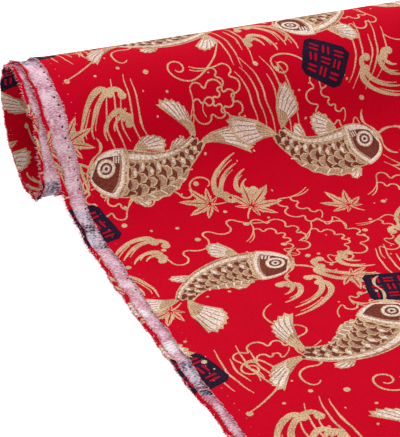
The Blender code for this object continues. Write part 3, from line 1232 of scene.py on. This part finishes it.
def spikes_on_points():
    """Geometry Nodes: a small closed spike on every point, along the point's own way out."""
    tree = bpy.data.node_groups.new("spikes on points", "GeometryNodeTree")
    for name, in_out, kind in (
            ("Geometry", "INPUT", "NodeSocketGeometry"),
            ("Sides", "INPUT", "NodeSocketInt"),
            ("Radius", "INPUT", "NodeSocketFloat"),
            ("Longest", "INPUT", "NodeSocketFloat"),
            ("Shortest", "INPUT", "NodeSocketFloat"),
            ("Lean", "INPUT", "NodeSocketFloat"),
            ("Seed", "INPUT", "NodeSocketInt"),
            ("Material", "INPUT", "NodeSocketMaterial"),
            ("Geometry", "OUTPUT", "NodeSocketGeometry")):
        tree.interface.new_socket(name, in_out=in_out, socket_type=kind)
    nodes = tree.nodes
    given = nodes.new("NodeGroupInput")
    outward = nodes.new("GeometryNodeInputNamedAttribute")
    outward.data_type = "FLOAT_VECTOR"
    outward.inputs["Name"].default_value = "outward"
    aside = nodes.new("FunctionNodeRandomValue")
    aside.data_type = "FLOAT_VECTOR"
    aside.inputs["Min"].default_value = (-1.0, -1.0, -1.0)
    aside.inputs["Max"].default_value = (1.0, 1.0, 1.0)
    leaning = nodes.new("ShaderNodeVectorMath")
    leaning.operation = "SCALE"
    way = nodes.new("ShaderNodeVectorMath")
    way.operation = "ADD"
    turn = nodes.new("FunctionNodeAlignRotationToVector")
    turn.axis = "Z"
    length = nodes.new("FunctionNodeRandomValue")
    length.data_type = "FLOAT"
    size = nodes.new("ShaderNodeCombineXYZ")
    spike = nodes.new("GeometryNodeMeshCone")
    spike.inputs["Radius Top"].default_value = 0.0
    spike.inputs["Radius Bottom"].default_value = 1.0
    spike.inputs["Depth"].default_value = 1.0
    placed = nodes.new("GeometryNodeInstanceOnPoints")
    real = nodes.new("GeometryNodeRealizeInstances")
    coloured = nodes.new("GeometryNodeSetMaterial")
    result = nodes.new("NodeGroupOutput")

    link = tree.links.new
    link(given.outputs["Seed"], aside.inputs["Seed"])
    link(given.outputs["Seed"], length.inputs["Seed"])
    link(aside.outputs[0], leaning.inputs[0])
    link(given.outputs["Lean"], leaning.inputs["Scale"])
    link(outward.outputs["Attribute"], way.inputs[0])
    link(leaning.outputs[0], way.inputs[1])
    link(way.outputs[0], turn.inputs["Vector"])
    link(given.outputs["Shortest"], length.inputs[2])
    link(given.outputs["Longest"], length.inputs[3])
    link(given.outputs["Radius"], size.inputs["X"])
    link(given.outputs["Radius"], size.inputs["Y"])
    link(length.outputs[1], size.inputs["Z"])
    link(given.outputs["Sides"], spike.inputs["Vertices"])
    link(given.outputs["Geometry"], placed.inputs["Points"])
    link(spike.outputs["Mesh"], placed.inputs["Instance"])
    link(turn.outputs["Rotation"], placed.inputs["Rotation"])
    link(size.outputs["Vector"], placed.inputs["Scale"])
    link(placed.outputs["Instances"], real.inputs["Geometry"])
    link(real.outputs["Geometry"], coloured.inputs["Geometry"])
    link(given.outputs["Material"], coloured.inputs["Material"])
    link(coloured.outputs["Geometry"], result.inputs["Geometry"])
    return tree


spike_tree = spikes_on_points()


def place_spikes(name, points, outward, settings):
    """Puts the spikes on the points, as one plain mesh."""
    mesh = bpy.data.meshes.new(name + " points")
    mesh.vertices.add(len(points))
    mesh.vertices.foreach_set("co", points.ravel())
    ways = mesh.attributes.new("outward", "FLOAT_VECTOR", "POINT")
    ways.data.foreach_set("vector", outward.ravel())
    spikes = bpy.data.objects.new(name, mesh)
    bpy.context.scene.collection.objects.link(spikes)
    modifier = spikes.modifiers.new("spikes", "NODES")
    modifier.node_group = spike_tree
    for socket in spike_tree.interface.items_tree:
        if socket.in_out == "INPUT" and socket.name in settings:
            modifier[socket.identifier] = settings[socket.name]
    evaluated = spikes.evaluated_get(bpy.context.evaluated_depsgraph_get())
    plain = bpy.data.meshes.new_from_object(evaluated)
    spikes.modifiers.remove(modifier)
    spikes.data = plain
    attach(spikes, "root")
    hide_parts("cloth")


def way_across(across, along):
    """The way from the upper selvedge to the lower one, at points of the cloth."""
    ahead = cloth_middle(across + tiny_step, along) - cloth_middle(across - tiny_step, along)
    return ahead / np.linalg.norm(ahead, axis=1)[:, None]


def way_along(across, along):
    """The way from the front end to the inner one."""
    ahead = cloth_middle(across, along + tiny_step) - cloth_middle(across, along - tiny_step)
    return ahead / np.linalg.norm(ahead, axis=1)[:, None]


def strewn(length, spacing, chance):
    """Places at random along an edge of a given length."""
    return np.sort(chance.uniform(end_margin, length - end_margin, round(length / spacing)))


red_thread = plain_thread("red thread", (172, 6, 32))
pale_thread = plain_thread("pale thread", (228, 184, 194))
chance = np.random.default_rng(11)
for thread in (Thread("threads_red", red_thread, 0.00036, 0.0012, 0.00016, 0.0021, 1),
               Thread("threads_pale", pale_thread, 0.0005, 0.00045, 0.00016, 0.0024, 2)):
    # The lower selvedge
    along = strewn(cloth_length, thread.spacing, chance)
    across = np.full_like(along, cloth_width - thread_inset)
    points = [cloth_middle(across, along)]
    outward = [way_across(across, along)]
    # The bend of the curl
    along = strewn(cloth_length, thread.spacing, chance)
    bend_start = cloth_width - laid_at(along, "strip")
    across = bend_start - laid_at(along, "curl") * chance.uniform(curl_from, curl_to, len(along))
    place, facing = cloth_face(across, along, curl_height)
    points.append(place)
    outward.append(facing)
    # The upper selvedge
    along = strewn(cloth_length, thread.upper_spacing, chance)
    across = np.full_like(along, thread_inset)
    points.append(cloth_middle(across, along))
    outward.append(-way_across(across, along))
    # The front end and the inner end
    for end, sign in ((thread_inset, -1), (cloth_length - thread_inset, 1)):
        across = strewn(cloth_width, cut_end_spacing, chance)
        along = np.full_like(across, end)
        points.append(cloth_middle(across, along))
        outward.append(sign * cut_end_push * way_along(across, along))
    points, outward = np.vstack(points), np.vstack(outward)
    outward[points[:, 2] < near_surface, 2] = upward
    place_spikes(thread.name, points, outward, {
        "Sides": thread_sides,
        "Radius": thread.radius,
        "Longest": thread.longest,
        "Shortest": shortest_thread * thread.longest,
        "Lean": thread_lean,
        "Seed": thread.seed,
        "Material": thread.material,
    })


# Pin pricks
# The cloth was held by rows of pins along both selvedges while it was stretched and dried.
# The pins left a row of small marks, dark on the reverse and light red on the face.
reverse_row = 0.0118            # from the lower selvedge
face_row = 0.0048               # from the upper selvedge
prick_spacing = 0.0058
first_prick = 0.004
wander_along = 0.0006
wander_across = 0.0004
highest_prick = 0.00012
lowest_prick = 0.00008
prick_sides = 6
Prick = namedtuple("Prick", ["name", "across", "side", "radius", "colour"])

chance = np.random.default_rng(12)
along = np.arange(first_prick, cloth_length - first_prick, prick_spacing)
along = along + chance.uniform(-wander_along, wander_along, len(along))
for prick in (Prick("pricks_reverse", cloth_width - reverse_row, -1, 0.00065, (34, 20, 36)),
              Prick("pricks_face", face_row, 1, 0.0003, (220, 118, 124))):
    across = prick.across + chance.uniform(-wander_across, wander_across, len(along))
    points, facing = cloth_face(across, along, prick.side * cloth_thickness / 2)
    place_spikes(prick.name, points, prick.side * facing, {
        "Sides": prick_sides,
        "Radius": prick.radius,
        "Longest": highest_prick,
        "Shortest": lowest_prick,
        "Lean": 0.0,
        "Seed": 3,
        "Material": plain_thread(prick.name, prick.colour),
    })


# Surface under the cloth
# A plain, matt white table top that reaches out of the picture and is lit well enough to
# stay white.
floor_reach = 12.0
floor_tone = (0.4, 0.4, 0.4, 1.0)
floor_glow = 0.9
floor_mesh = bpy.data.meshes.new("floor")
floor_mesh.from_pydata(
    [(-floor_reach, -floor_reach, 0.0), (floor_reach, -floor_reach, 0.0),
     (floor_reach, floor_reach, 0.0), (-floor_reach, floor_reach, 0.0)],
    [], [(0, 1, 2, 3)])
floor = bpy.data.objects.new("floor", floor_mesh)
bpy.context.scene.collection.objects.link(floor)
floor_white = bpy.data.materials.new("floor white")
floor_white.use_nodes = True
floor_shader = floor_white.node_tree.nodes["Principled BSDF"]
floor_shader.inputs["Base Color"].default_value = floor_tone
floor_shader.inputs["Roughness"].default_value = 1.0
floor_shader.inputs["Specular IOR Level"].default_value = 0.0
floor_shader.inputs["Emission Color"].default_value = (1.0, 1.0, 1.0, 1.0)
floor_shader.inputs["Emission Strength"].default_value = floor_glow
floor_mesh.materials.append(floor_white)


# Light
# Soft white light from all round, and one large lamp above and behind the roll, which
# leaves the near side of the roll a little darker.
surroundings = bpy.data.worlds.new("studio")
surroundings.use_nodes = True
background = surroundings.node_tree.nodes["Background"]
background.inputs["Color"].default_value = (1.0, 1.0, 1.0, 1.0)
background.inputs["Strength"].default_value = 1.07
bpy.context.scene.world = surroundings

overhead = bpy.data.lights.new("overhead", "AREA")
overhead.shape = "RECTANGLE"
overhead.size = 1.6
overhead.size_y = 1.6
overhead.energy = 13.0
overhead_lamp = bpy.data.objects.new("overhead", overhead)
overhead_lamp.location = (0.1, 0.75, 1.3)
overhead_lamp.rotation_euler = (math.radians(-26), 0.0, 0.0)
bpy.context.scene.collection.objects.link(overhead_lamp)


# Camera
# It looks from the left end of the roll, above it and in front, as the photo's does. The
# colours are shown as they are, with no film look.
bpy.context.scene.view_settings.view_transform = "Standard"
bpy.context.scene.view_settings.look = "None"
camera_place = (-0.43285, -0.4404, 0.2853)
turn_right = math.radians(23.67)
look_down = math.radians(26.66)
lean = -0.0152

lens = bpy.data.cameras.new("camera")
lens.sensor_fit = "HORIZONTAL"
lens.sensor_width = 36.0
lens.lens = 107.07
lens.clip_start = 0.01
camera = bpy.data.objects.new("camera", lens)
camera.matrix_world = (
    Matrix.Translation(camera_place)
    @ Matrix.Rotation(-turn_right, 4, "Z")
    @ Matrix.Rotation(math.radians(90) - look_down, 4, "X")
    @ Matrix.Rotation(lean, 4, "Z")
)
bpy.context.scene.collection.objects.link(camera)
bpy.context.scene.camera = camera
